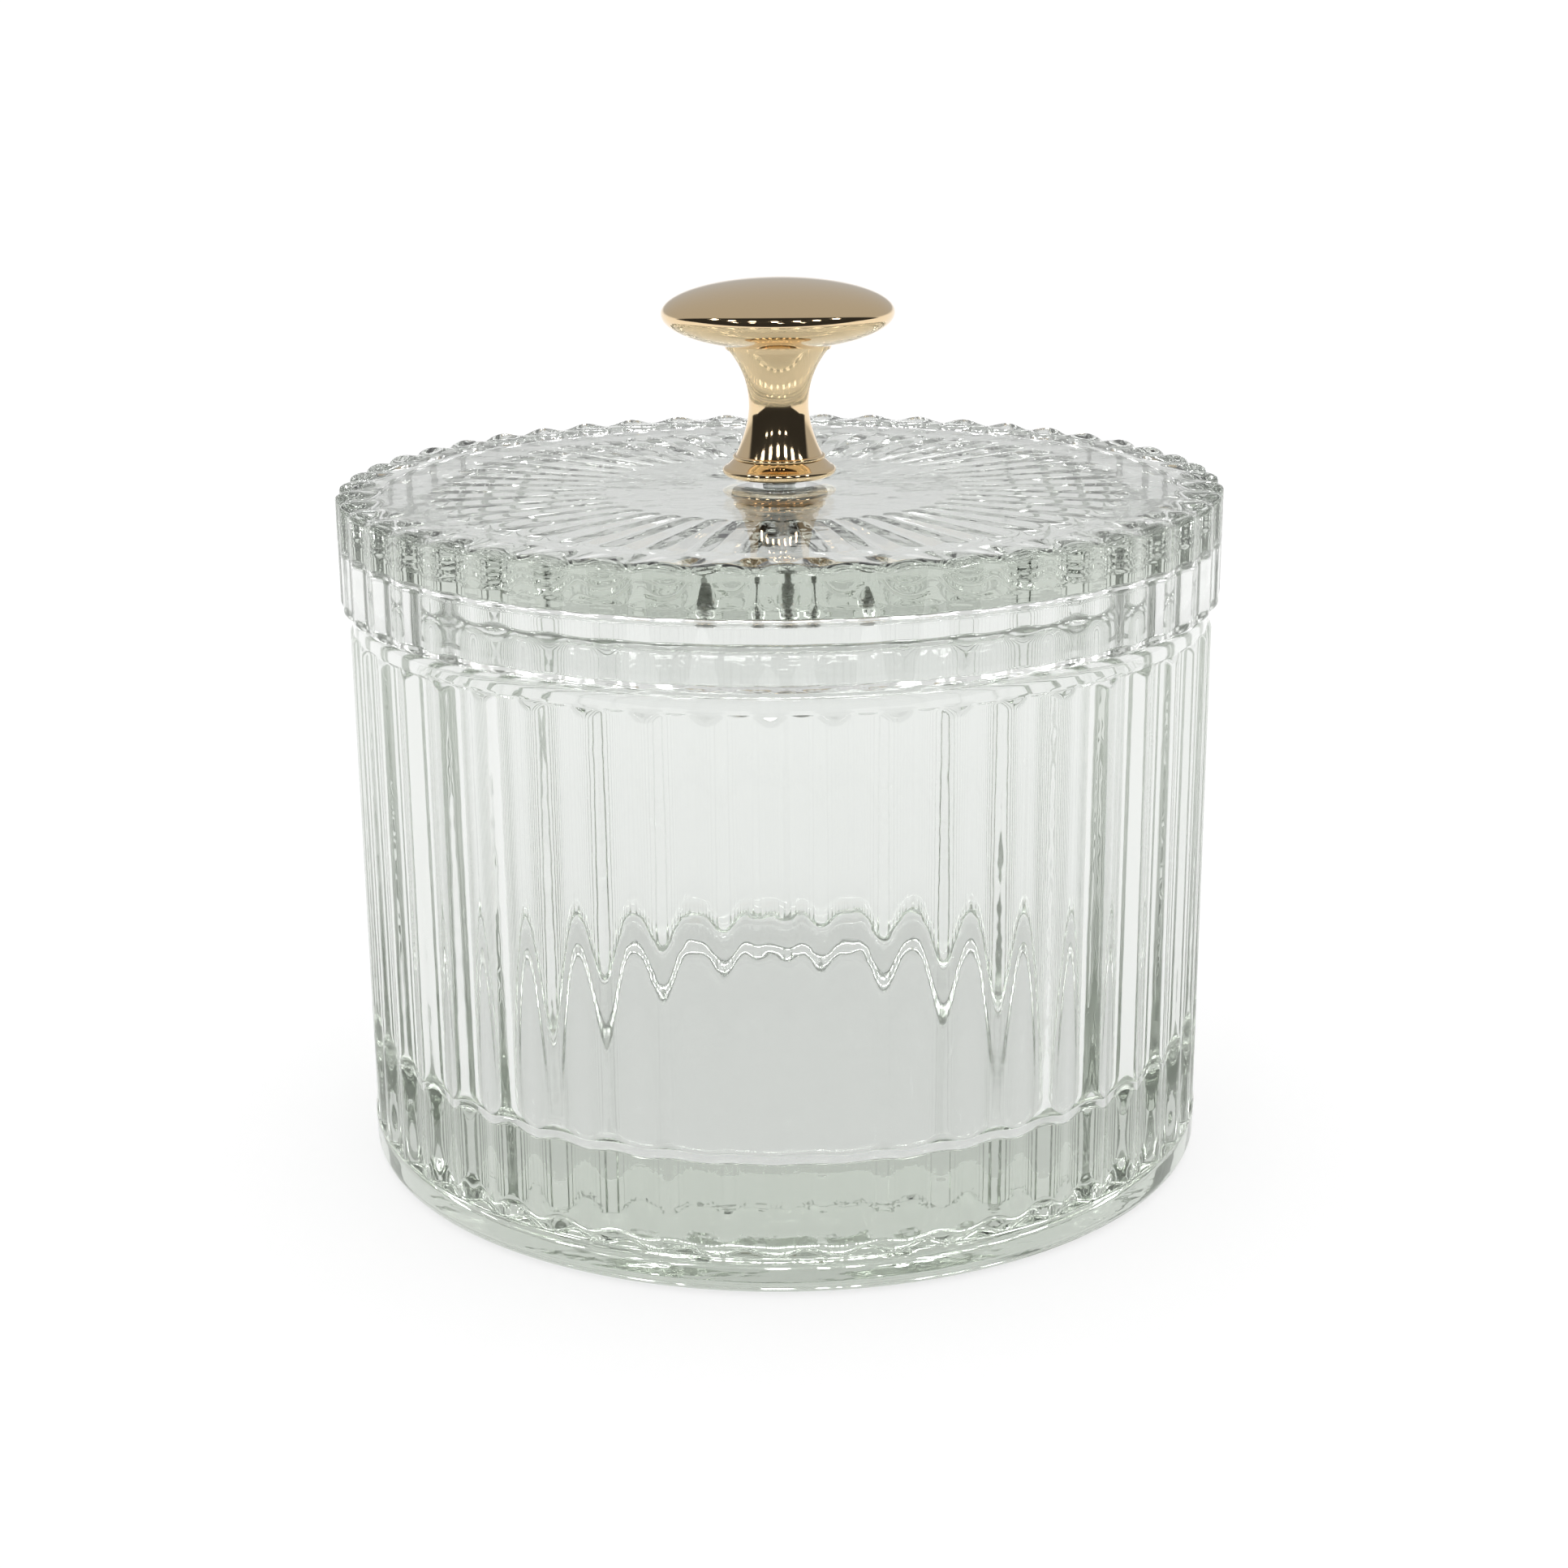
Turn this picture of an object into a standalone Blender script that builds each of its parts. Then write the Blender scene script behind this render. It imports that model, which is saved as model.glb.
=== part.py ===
"""Fluted pressed-glass candle jar with a glass cap lid and a turned metal knob.

Units are metres and +Z is up. The origin is the centre of the jar's foot.
The lid and everything on it hang on one empty, at the lid's lower edge.
"""
import math

import bmesh
import bpy
from mathutils import Matrix

MM = 0.001

# Fits and facets
PIECE_GAP = 0.3 * MM
LID_CLEARANCE = 0.5 * MM
SCREW_CLEARANCE = 0.3 * MM
WELD = 0.001 * MM
OVERSHOOT = 0.5 * MM
GLASS_STEPS = 96
KNOB_STEPS = 36
SMALL_STEPS = 24
ROUND_POINTS = 3
SHARP_ANGLE = math.radians(35.0)

# Flutes pressed round the jar and the lid
FLUTE_COUNT = 48
FLUTE_SHARE = 0.73
FLUTE_ARC_POINTS = 4
JAR_FLUTE_DEPTH = 0.75 * MM
LID_FLUTE_DEPTH = 0.65 * MM

# Jar body
JAR_RADIUS = 49.2 * MM
JAR_SHOULDER = 65.2 * MM
JAR_WALL = 6.8 * MM
JAR_BORE_DRAFT = 0.6 * MM
JAR_FLOOR = 12.2 * MM
FLOOR_FILLET = 3.0 * MM

# Fluted sleeve that is fused to the turned body of the jar
SLEEVE_OVERLAP = 0.3 * MM
SLEEVE_WALL = 0.9 * MM
SLEEVE_SINK = 1.0 * MM

# Jar neck, inside the lid's skirt
NECK_WALL = 3.0 * MM
NECK_HEIGHT = 4.2 * MM
RIM_ROUND = 1.2 * MM

# Plain band and rounded edge at the shoulder
BAND_INSET = 0.4 * MM
BAND_HEIGHT = 2.1 * MM
SHOULDER_ROUND = 1.0 * MM
FLUTE_TOP_RISE = 2.1

# Plain foot below the flutes
FOOT_HEIGHT = 4.6 * MM
FOOT_PROUD = 0.12 * MM
FOOT_ROUND = 1.9 * MM
FOOT_SLOPE = 0.6
FOOT_RING = 9.0 * MM
PUSH_UP = 0.8 * MM
PUSH_UP_SLOPE = 6.0 * MM

# Cap lid
LID_OVERHANG = 0.8 * MM
LID_HEIGHT = 12.5 * MM
LID_PLATE = 5.8 * MM
LID_EDGE_ROUND = 2.2 * MM
LID_EDGE_INSET = 1.5 * MM
LID_EDGE_POINTS = 4
LID_FOOT_CHAMFER = 0.3 * MM
LID_INNER_FILLET = 1.0 * MM
LID_FILLET_POINTS = 2
LID_HOLE = 3.0 * MM
LID_TURN = math.radians(2.0)

# Sunburst grooves pressed in the underside of the lid
RAY_COUNT = FLUTE_COUNT
RAY_START = 23.2 * MM
RAY_MARGIN = 6.3 * MM
RAY_WIDTH_INNER = 1.4 * MM
RAY_WIDTH_OUTER = 2.5 * MM
RAY_DEPTH = 0.6 * MM
RAY_END_POINTS = 4

# Knob
KNOB_STANDOFF = 0.5 * MM
KNOB_HEIGHT = 22.0 * MM
HEAD_RADIUS = 13.1 * MM
HEAD_CROWN = 3.75 * MM
HEAD_BELLY = 3.9 * MM
COLLAR_RADIUS = 6.15 * MM
COLLAR_STEP = 0.25 * MM
COLLAR_HEIGHT = 0.5 * MM
WAIST_RADIUS = 3.38 * MM
WAIST_HEIGHT = 7.8 * MM
STEM_FLARE_UPPER = 2.3
STEM_FLARE_LOWER = 1.7
STEM_FOOT_RADIUS = 5.35 * MM
FLANGE_RADIUS = 6.45 * MM
FLANGE_HEIGHT = 1.3 * MM
FLANGE_BEAD = 0.3 * MM
FLANGE_FACE_RADIUS = 5.4 * MM
FLANGE_TOP_ANGLE = 65.0
HEAD_POINTS = 6
STEM_POINTS = 5
FLANGE_POINTS = 4

# Screw that holds the knob, with its washers
SCREW_RADIUS = 2.0 * MM
SCREW_LENGTH = 15.5 * MM
SCREW_HEAD_RADIUS = 3.9 * MM
SCREW_HEAD_HEIGHT = 2.4 * MM
SCREW_HEAD_ROUND = 0.9 * MM
SCREW_TIP_CHAMFER = 0.3 * MM
SCREW_END_SPACE = 0.6 * MM
KNOB_GASKET_RADIUS = 4.0 * MM
KNOB_GASKET_THICK = 1.0 * MM
LID_GASKET_RADIUS = 5.5 * MM
LID_GASKET_THICK = 0.8 * MM
WASHER_RADIUS = 5.0 * MM
WASHER_THICK = 0.8 * MM

# Sizes that follow from the ones above
LID_RADIUS = JAR_RADIUS + LID_OVERHANG
LID_BOTTOM = JAR_SHOULDER + PIECE_GAP
JAR_BORE = JAR_RADIUS - JAR_WALL
NECK_RADIUS = JAR_BORE + NECK_WALL
SKIRT_BORE = NECK_RADIUS + LID_CLEARANCE
RAY_END = SKIRT_BORE - RAY_MARGIN
PLATE_UNDER = LID_HEIGHT - LID_PLATE
KNOB_BASE = LID_HEIGHT + KNOB_STANDOFF
SCREW_BORE = SCREW_RADIUS + SCREW_CLEARANCE
KNOB_GASKET_BOTTOM = LID_HEIGHT + PIECE_GAP
KNOB_RECESS_TOP = KNOB_GASKET_BOTTOM + KNOB_GASKET_THICK + PIECE_GAP
LID_GASKET_TOP = PLATE_UNDER - PIECE_GAP
WASHER_TOP = LID_GASKET_TOP - LID_GASKET_THICK - PIECE_GAP
SCREW_SEAT = WASHER_TOP - WASHER_THICK - PIECE_GAP
SCREW_TIP = SCREW_SEAT + SCREW_LENGTH


def clear_scene():
    for old in list(bpy.data.objects):
        bpy.data.objects.remove(old, do_unlink=True)


def new_collection(name):
    group = bpy.data.collections.new(name)
    bpy.context.scene.collection.children.link(group)
    return group


def make_material(name, colour, roughness, metallic=0.0, transmission=0.0):
    material = bpy.data.materials.new(name)
    material.use_nodes = True
    shader = material.node_tree.nodes["Principled BSDF"]
    shader.inputs["Base Color"].default_value = (*colour, 1.0)
    shader.inputs["Roughness"].default_value = roughness
    shader.inputs["Metallic"].default_value = metallic
    shader.inputs["Transmission Weight"].default_value = transmission
    return material


def arc(centre_r, centre_z, size_r, size_z, start, end, points):
    """Points of an elliptical arc in the radius and height plane, angles in degrees."""
    result = []
    for i in range(points + 1):
        angle = math.radians(start + (end - start) * i / points)
        result.append((centre_r + size_r * math.cos(angle), centre_z + size_z * math.sin(angle)))
    return result


def welded_mesh(source, name):
    """Mesh of an object as its modifiers leave it, with doubled points joined."""
    graph = bpy.context.evaluated_depsgraph_get()
    mesh = bpy.data.meshes.new_from_object(source.evaluated_get(graph))
    mesh.name = name
    work = bmesh.new()
    work.from_mesh(mesh)
    bmesh.ops.remove_doubles(work, verts=work.verts, dist=WELD)
    bmesh.ops.recalc_face_normals(work, faces=work.faces)
    work.to_mesh(mesh)
    work.free()
    mesh.shade_smooth()
    mesh.set_sharp_from_angle(angle=SHARP_ANGLE)
    return mesh


def add_object(name, mesh, group, parent=None):
    part = bpy.data.objects.new(name, mesh)
    group.objects.link(part)
    part.parent = parent
    return part


def turned_mesh(name, outline, steps, closed):
    """Turn a profile of (radius, height) points once round Z with a Screw modifier."""
    mesh = bpy.data.meshes.new(name + "_profile")
    edges = [(i, i + 1) for i in range(len(outline) - 1)]
    if closed:
        edges.append((len(outline) - 1, 0))
    mesh.from_pydata([(r, 0.0, z) for r, z in outline], edges, [])
    profile = bpy.data.objects.new(name + "_profile", mesh)
    bpy.context.scene.collection.objects.link(profile)
    screw = profile.modifiers.new("turn", "SCREW")
    screw.axis = "Z"
    screw.angle = math.tau
    screw.steps = steps
    screw.render_steps = steps
    screw.use_merge_vertices = True
    screw.merge_threshold = WELD
    result = welded_mesh(profile, name)
    bpy.data.objects.remove(profile, do_unlink=True)
    return result


def extruded_mesh(name, outline, bottom, top):
    """Fill a closed outline of (x, y) points and extrude it between two heights."""
    curve = bpy.data.curves.new(name + "_outline", "CURVE")
    curve.dimensions = "2D"
    curve.fill_mode = "BOTH"
    curve.extrude = (top - bottom) / 2.0
    spline = curve.splines.new("POLY")
    spline.points.add(len(outline) - 1)
    for point, (x, y) in zip(spline.points, outline):
        point.co = (x, y, 0.0, 1.0)
    spline.use_cyclic_u = True
    holder = bpy.data.objects.new(name + "_outline", curve)
    bpy.context.scene.collection.objects.link(holder)
    result = welded_mesh(holder, name)
    result.transform(Matrix.Translation((0.0, 0.0, (top + bottom) / 2.0)))
    bpy.data.objects.remove(holder, do_unlink=True)
    return result


def boolean(part, operation, other):
    step = part.modifiers.new(other.name, "BOOLEAN")
    step.operation = operation
    step.solver = "EXACT"
    step.use_self = operation == "UNION"
    step.object = other


def as_guide(part):
    part.hide_render = True
    part.display_type = "WIRE"
    return part


def fluted_outline(radius, depth):
    """Round outline with flat lands on the full radius and a hollow arc between each pair."""
    pitch = math.tau / FLUTE_COUNT
    half_chord = radius * math.sin(pitch * FLUTE_SHARE / 2.0)
    chord_at = radius * math.cos(pitch * FLUTE_SHARE / 2.0)
    sink = depth - (radius - chord_at)
    arc_radius = (half_chord ** 2 + sink ** 2) / (2.0 * sink)
    half_angle = math.asin(half_chord / arc_radius)
    centre = chord_at - sink + arc_radius
    points = []
    for i in range(FLUTE_COUNT):
        middle = pitch * (i + 0.5)
        for j in range(FLUTE_ARC_POINTS + 1):
            angle = half_angle * (2.0 * j / FLUTE_ARC_POINTS - 1.0)
            along = centre - arc_radius * math.cos(angle)
            across = arc_radius * math.sin(angle)
            points.append((along * math.cos(middle) - across * math.sin(middle),
                           along * math.sin(middle) + across * math.cos(middle)))
    return points


def make_jar(parts, guides):
    core = JAR_RADIUS - JAR_FLUTE_DEPTH - SLEEVE_OVERLAP
    band = JAR_RADIUS - BAND_INSET
    band_bottom = JAR_SHOULDER - BAND_HEIGHT
    foot = JAR_RADIUS + FOOT_PROUD
    floor_bore = JAR_BORE - JAR_BORE_DRAFT
    rim = JAR_SHOULDER + NECK_HEIGHT
    foot_inner = foot - FOOT_ROUND - FOOT_RING
    outline = [(0.0, JAR_FLOOR)]
    outline += arc(floor_bore - FLOOR_FILLET, JAR_FLOOR + FLOOR_FILLET,
                   FLOOR_FILLET, FLOOR_FILLET, -90, 0, ROUND_POINTS)
    outline += [(JAR_BORE, rim - RIM_ROUND), (JAR_BORE + RIM_ROUND, rim)]
    outline += [(NECK_RADIUS - RIM_ROUND, rim), (NECK_RADIUS, rim - RIM_ROUND), (NECK_RADIUS, JAR_SHOULDER)]
    outline += arc(band - SHOULDER_ROUND, JAR_SHOULDER - SHOULDER_ROUND,
                   SHOULDER_ROUND, SHOULDER_ROUND, 90, 0, ROUND_POINTS)
    outline += [(band, band_bottom), (core, band_bottom - (band - core))]
    outline += [(core, FOOT_HEIGHT + FOOT_SLOPE * (foot - core)), (foot, FOOT_HEIGHT)]
    outline += arc(foot - FOOT_ROUND, FOOT_ROUND, FOOT_ROUND, FOOT_ROUND, 0, -90, ROUND_POINTS)
    outline += [(foot_inner, 0.0), (foot_inner - PUSH_UP_SLOPE, PUSH_UP), (0.0, PUSH_UP)]
    jar = add_object("jar", turned_mesh("jar", outline, GLASS_STEPS, False), parts)

    # The fluted sleeve reaches into the foot below and into the plain band above
    outside = JAR_RADIUS + OVERSHOOT
    inside = core - SLEEVE_WALL
    sleeve_bottom = FOOT_HEIGHT - SLEEVE_SINK
    land_top = band_bottom - FLUTE_TOP_RISE * BAND_INSET
    cone_top = band_bottom + FLUTE_TOP_RISE * BAND_INSET
    outline = [(band - BAND_INSET, cone_top), (outside, land_top - FLUTE_TOP_RISE * OVERSHOOT)]
    outline += [(outside, sleeve_bottom), (inside, sleeve_bottom), (inside, cone_top)]
    sleeve = add_object("jar_flutes", turned_mesh("jar_flutes", outline, GLASS_STEPS, True), guides)
    prism = extruded_mesh("jar_prism", fluted_outline(JAR_RADIUS, JAR_FLUTE_DEPTH), 0.0, JAR_SHOULDER)
    prism = add_object("jar_prism", prism, guides)
    boolean(sleeve, "INTERSECT", as_guide(prism))
    boolean(jar, "UNION", as_guide(sleeve))
    return jar


def ray_outline():
    """One sunburst groove along +X, with round ends and a wider outer end."""
    inner = RAY_WIDTH_INNER / 2.0
    outer = RAY_WIDTH_OUTER / 2.0
    points = arc(RAY_END - outer, 0.0, outer, outer, -90, 90, RAY_END_POINTS)
    points += arc(RAY_START + inner, 0.0, inner, inner, 90, 270, RAY_END_POINTS)
    return points


def make_sunburst(guides, parent):
    """All the grooves as one cutter, turned from one groove."""
    ray = extruded_mesh("ray", ray_outline(), PLATE_UNDER - RAY_DEPTH, PLATE_UNDER + RAY_DEPTH)
    work = bmesh.new()
    for i in range(RAY_COUNT):
        turn = Matrix.Rotation(math.tau * (i + 0.5) / RAY_COUNT, 4, "Z")
        copy = ray.copy()
        copy.transform(turn)
        work.from_mesh(copy)
        bpy.data.meshes.remove(copy)
    mesh = bpy.data.meshes.new("sunburst")
    work.to_mesh(mesh)
    work.free()
    bpy.data.meshes.remove(ray)
    return as_guide(add_object("sunburst", mesh, guides, parent))


def make_lid(parts, guides, parent):
    edge_r = LID_RADIUS - LID_EDGE_INSET
    edge_z = LID_HEIGHT - LID_EDGE_ROUND
    edge_end = math.degrees(math.acos((LID_EDGE_INSET + OVERSHOOT) / LID_EDGE_ROUND))
    outline = [(LID_HOLE, LID_HEIGHT)]
    outline += arc(edge_r, edge_z, LID_EDGE_ROUND, LID_EDGE_ROUND, 90, edge_end, LID_EDGE_POINTS)
    outline += [(LID_RADIUS + OVERSHOOT, LID_FOOT_CHAMFER + OVERSHOOT)]
    outline += [(LID_RADIUS - LID_FOOT_CHAMFER, 0.0), (SKIRT_BORE, 0.0)]
    outline += arc(SKIRT_BORE - LID_INNER_FILLET, PLATE_UNDER - LID_INNER_FILLET,
                   LID_INNER_FILLET, LID_INNER_FILLET, 0, 90, LID_FILLET_POINTS)
    outline += [(LID_HOLE, PLATE_UNDER)]
    lid = add_object("lid", turned_mesh("lid", outline, GLASS_STEPS, True), parts, parent)
    prism = extruded_mesh("lid_prism", fluted_outline(LID_RADIUS, LID_FLUTE_DEPTH),
                          -OVERSHOOT, LID_HEIGHT + OVERSHOOT)
    prism = add_object("lid_prism", prism, guides, parent)
    boolean(lid, "INTERSECT", as_guide(prism))
    boolean(lid, "DIFFERENCE", make_sunburst(guides, parent))
    return lid


def flare(waist, end, power, points):
    """Stem points from the waist (radius, height) out to an end, by a power curve."""
    result = []
    for i in range(1, points + 1):
        share = i / points
        result.append((waist[0] + (end[0] - waist[0]) * share ** power,
                       waist[1] + (end[1] - waist[1]) * share))
    return result


def make_knob(parts, parent):
    top = KNOB_BASE + KNOB_HEIGHT
    rim = top - HEAD_CROWN
    belly_end = -math.degrees(math.acos(COLLAR_RADIUS / HEAD_RADIUS))
    collar_z = rim + HEAD_BELLY * math.sin(math.radians(belly_end))
    waist = (WAIST_RADIUS, KNOB_BASE + WAIST_HEIGHT)
    stem_top = (COLLAR_RADIUS - COLLAR_STEP, collar_z - COLLAR_HEIGHT)
    stem_foot = (STEM_FOOT_RADIUS, KNOB_BASE + FLANGE_HEIGHT + FLANGE_BEAD)
    outline = arc(0.0, rim, HEAD_RADIUS, HEAD_CROWN, 90, 0, HEAD_POINTS)
    outline += arc(0.0, rim, HEAD_RADIUS, HEAD_BELLY, 0, belly_end, HEAD_POINTS - 1)[1:]
    outline += [(COLLAR_RADIUS, collar_z - COLLAR_HEIGHT)]
    outline += list(reversed(flare(waist, stem_top, STEM_FLARE_UPPER, STEM_POINTS)))
    outline += [waist]
    outline += flare(waist, stem_foot, STEM_FLARE_LOWER, STEM_POINTS)
    outline += [(STEM_FOOT_RADIUS + FLANGE_BEAD, stem_foot[1])]
    outline += arc(FLANGE_FACE_RADIUS, KNOB_BASE + FLANGE_HEIGHT / 2.0,
                   FLANGE_RADIUS - FLANGE_FACE_RADIUS, FLANGE_HEIGHT / 2.0,
                   FLANGE_TOP_ANGLE, -90, FLANGE_POINTS)
    recess = KNOB_GASKET_RADIUS + PIECE_GAP
    outline += [(recess, KNOB_BASE), (recess, KNOB_RECESS_TOP), (SCREW_BORE, KNOB_RECESS_TOP)]
    bore_end = SCREW_TIP + SCREW_END_SPACE
    outline += [(SCREW_BORE, bore_end), (0.0, bore_end + SCREW_BORE / 2.0)]
    return add_object("knob", turned_mesh("knob", outline, KNOB_STEPS, False), parts, parent)


def make_washer(name, radius, bore, top, thick, parts, parent):
    outline = [(bore, top), (radius, top), (radius, top - thick), (bore, top - thick)]
    return add_object(name, turned_mesh(name, outline, SMALL_STEPS, True), parts, parent)


def make_screw(parts, parent):
    head_bottom = SCREW_SEAT - SCREW_HEAD_HEIGHT
    outline = [(0.0, SCREW_TIP), (SCREW_RADIUS - SCREW_TIP_CHAMFER, SCREW_TIP)]
    outline += [(SCREW_RADIUS, SCREW_TIP - SCREW_TIP_CHAMFER)]
    outline += [(SCREW_RADIUS, SCREW_SEAT), (SCREW_HEAD_RADIUS, SCREW_SEAT)]
    outline += arc(SCREW_HEAD_RADIUS - SCREW_HEAD_ROUND, head_bottom + SCREW_HEAD_ROUND,
                   SCREW_HEAD_ROUND, SCREW_HEAD_ROUND, 0, -90, ROUND_POINTS)
    outline += [(0.0, head_bottom)]
    return add_object("knob_screw", turned_mesh("knob_screw", outline, SMALL_STEPS, False), parts, parent)


def main():
    clear_scene()
    parts = new_collection("candle_jar")
    guides = new_collection("candle_jar_guides")
    lid_lift = bpy.data.objects.new("lid_lift", None)
    parts.objects.link(lid_lift)
    lid_lift.location = (0.0, 0.0, LID_BOTTOM)
    lid_lift.rotation_euler = (0.0, 0.0, LID_TURN)

    glass = make_material("clear_glass", (0.90, 0.93, 0.91), 0.03, transmission=1.0)
    lid_glass = make_material("lid_glass", (0.89, 0.93, 0.90), 0.03, transmission=1.0)
    gold = make_material("champagne_gold", (0.74, 0.52, 0.33), 0.12, metallic=1.0)
    soft = make_material("clear_soft_pvc", (0.72, 0.74, 0.72), 0.35)
    lid_soft = make_material("lid_soft_pvc", (0.72, 0.74, 0.72), 0.35)
    zinc = make_material("zinc_steel", (0.60, 0.60, 0.58), 0.30, metallic=1.0)
    screw_zinc = make_material("screw_steel", (0.58, 0.58, 0.57), 0.32, metallic=1.0)

    knob_gasket = make_washer("knob_gasket", KNOB_GASKET_RADIUS, SCREW_BORE,
                              KNOB_GASKET_BOTTOM + KNOB_GASKET_THICK, KNOB_GASKET_THICK, parts, lid_lift)
    lid_gasket = make_washer("lid_gasket", LID_GASKET_RADIUS, SCREW_BORE,
                             LID_GASKET_TOP, LID_GASKET_THICK, parts, lid_lift)
    washer = make_washer("screw_washer", WASHER_RADIUS, SCREW_BORE,
                         WASHER_TOP, WASHER_THICK, parts, lid_lift)
    finishes = {
        make_jar(parts, guides): glass,
        make_lid(parts, guides, lid_lift): lid_glass,
        make_knob(parts, lid_lift): gold,
        make_screw(parts, lid_lift): screw_zinc,
        knob_gasket: soft,
        lid_gasket: lid_soft,
        washer: zinc,
    }
    for part, finish in finishes.items():
        part.data.materials.append(finish)


main()
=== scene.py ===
"""Fluted glass candle jar with a cap lid and a gold knob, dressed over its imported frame.

The glass is drawn as rings of points, so that each flute, scallop and groove is real
shape and not a texture. Sizes are in metres, and +Z is up.
"""

import math

import bmesh
import bpy
import numpy as np
from bpy.props import FloatProperty, IntProperty, PointerProperty, StringProperty
from bpy.types import Operator, Panel, PropertyGroup
from mathutils import Matrix, Vector


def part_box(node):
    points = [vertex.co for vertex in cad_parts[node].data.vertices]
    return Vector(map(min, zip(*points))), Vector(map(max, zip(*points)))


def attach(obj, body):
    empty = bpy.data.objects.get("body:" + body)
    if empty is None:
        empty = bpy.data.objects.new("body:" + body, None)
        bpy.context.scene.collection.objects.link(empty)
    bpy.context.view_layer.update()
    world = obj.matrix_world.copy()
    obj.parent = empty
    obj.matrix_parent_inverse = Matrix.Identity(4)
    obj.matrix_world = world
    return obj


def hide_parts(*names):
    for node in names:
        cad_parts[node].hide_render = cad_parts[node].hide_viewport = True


bl_info = {
    "name": "Fluted candle jar",
    "version": (1, 0, 0),
    "blender": (4, 5, 0),
    "location": "3D View > Sidebar > Candle jar",
    "description": "Builds the glass, the knob and the fastening of a fluted candle jar on its frame",
    "category": "Object",
}

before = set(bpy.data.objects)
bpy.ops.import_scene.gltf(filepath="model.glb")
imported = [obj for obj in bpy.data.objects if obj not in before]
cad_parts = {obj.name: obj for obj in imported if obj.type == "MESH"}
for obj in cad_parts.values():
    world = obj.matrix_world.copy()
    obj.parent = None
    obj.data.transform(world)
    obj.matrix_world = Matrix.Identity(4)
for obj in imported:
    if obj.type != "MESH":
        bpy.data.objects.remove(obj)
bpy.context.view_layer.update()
_, JAR_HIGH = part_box("jar")
LID_LOW, LID_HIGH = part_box("lid")
KNOB_LOW, KNOB_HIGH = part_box("knob")
SCREW_LOW, SCREW_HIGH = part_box("knob_screw")

MM = 0.001

# Edges of pressed glass are soft: neighbouring faces are blended over these widths
EDGE_SOFT = 0.3 * MM
FACET_SOFT = 0.15 * MM
GROOVE_SOFT = 0.06 * MM

# Extra rings lie a few of these from an edge, so that the flat beside it stays flat in the shading
HOLD = 0.1 * MM

# Columns of points across half a flute
FLUTE_COLUMNS = 11
# The same across half a sunburst groove, as shares of the groove's half width
GROOVE_SHARES = (0.0, 0.06, 0.2, 0.38, 0.56, 0.74, 0.88, 0.96, 1.0, 1.04, 1.12)
# Columns of a groove that is nearly as wide as its pitch are kept inside these shares of it
GROOVE_LIMITS = (0.90, 0.99)

# Jar, as the frame has it
FOOT_RADIUS = JAR_HIGH.x
RIM = JAR_HIGH.z
FOOT_HEIGHT = 4.6 * MM
FOOT_PROUD = 0.12 * MM
FOOT_ROUND = 1.9 * MM
FOOT_SLOPE = 0.6
FOOT_RING = 9.0 * MM
PUSH_UP = 0.8 * MM
PUSH_UP_SLOPE = 6.0 * MM
PUSH_UP_ROWS = 9
JAR_RADIUS = FOOT_RADIUS - FOOT_PROUD
JAR_WALL = 6.8 * MM
JAR_BORE = JAR_RADIUS - JAR_WALL
JAR_BORE_DRAFT = 0.6 * MM
JAR_FLOOR = 12.2 * MM
FLOOR_FILLET = 3.0 * MM
FLOOR_BORE = JAR_BORE - JAR_BORE_DRAFT
# Innermost ring of the floor and of the push-up, which close in a point on the axis
AXIS_RING = 20.0 * MM
NECK_WALL = 3.0 * MM
NECK_HEIGHT = 4.2 * MM
NECK_RADIUS = JAR_BORE + NECK_WALL
NECK_FILLET = 0.5 * MM
RIM_ROUND = 1.4 * MM
SHOULDER = RIM - NECK_HEIGHT
SHOULDER_ROUND = 1.0 * MM
BAND_HEIGHT = 2.1 * MM
BAND_BOTTOM = SHOULDER - BAND_HEIGHT
BAND_INSET = 0.4 * MM
BAND_RADIUS = JAR_RADIUS - BAND_INSET
FLUTE_TOP_RISE = 2.1
# Flutes die out between these heights below and above the foot's upper edge and the band's lower one
FOOT_FADE = (0.4 * MM, 1.1 * MM)
FOOT_FADE_ROWS = 15
BAND_FADE = (1.3 * MM, 0.35 * MM)
BAND_FADE_ROWS = 17
# Between foot and band the plain body lies this far inside the flutes' deepest line
BODY_INSET = 0.3 * MM
# Straight part of the bore: distances from the rim and the floor's fillet, and shares of the draft
BORE_FROM_RIM = 3.0 * MM
BORE_FROM_FILLET = 1.0 * MM
BORE_DRAFT_UPPER = 0.05
BORE_DRAFT_LOWER = 0.02

# Lid
LID_BOTTOM = LID_LOW.z
LID_TOP = LID_HIGH.z
LID_PROUD = 0.8 * MM
LID_RADIUS = JAR_RADIUS + LID_PROUD
LID_PLATE = 5.8 * MM
PLATE_UNDER = LID_TOP - LID_PLATE
PLATE_RINGS = (10.0 * MM, 30.0 * MM)
LID_EDGE_ROUND = 2.2 * MM
LID_EDGE_TURN = math.radians(35.0)
LID_EDGE_CORNER = 0.5 * MM
LID_LOBE_TIP = 44.5 * MM
LID_LOBE_ROWS = 10
LID_SIDE_FOOT = 2.0 * MM
LID_FOOT_CHAMFER = 0.25 * MM
LID_FOOT_FADE = 0.9 * MM
LID_FOOT_LOWEST = 0.04 * MM
LID_FOOT_ROWS = 7
LID_INNER_FILLET = 1.0 * MM
LID_CLEARANCE = 0.5 * MM
SKIRT_BORE = NECK_RADIUS + LID_CLEARANCE
SKIRT_ROUND = 0.4 * MM
LID_HOLE = 3.0 * MM
LID_HOLE_ROUND = 0.35 * MM
LID_TURN = math.radians(2.0)
GROOVE_START = 20.6 * MM
GROOVE_END = 39.6 * MM
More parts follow.
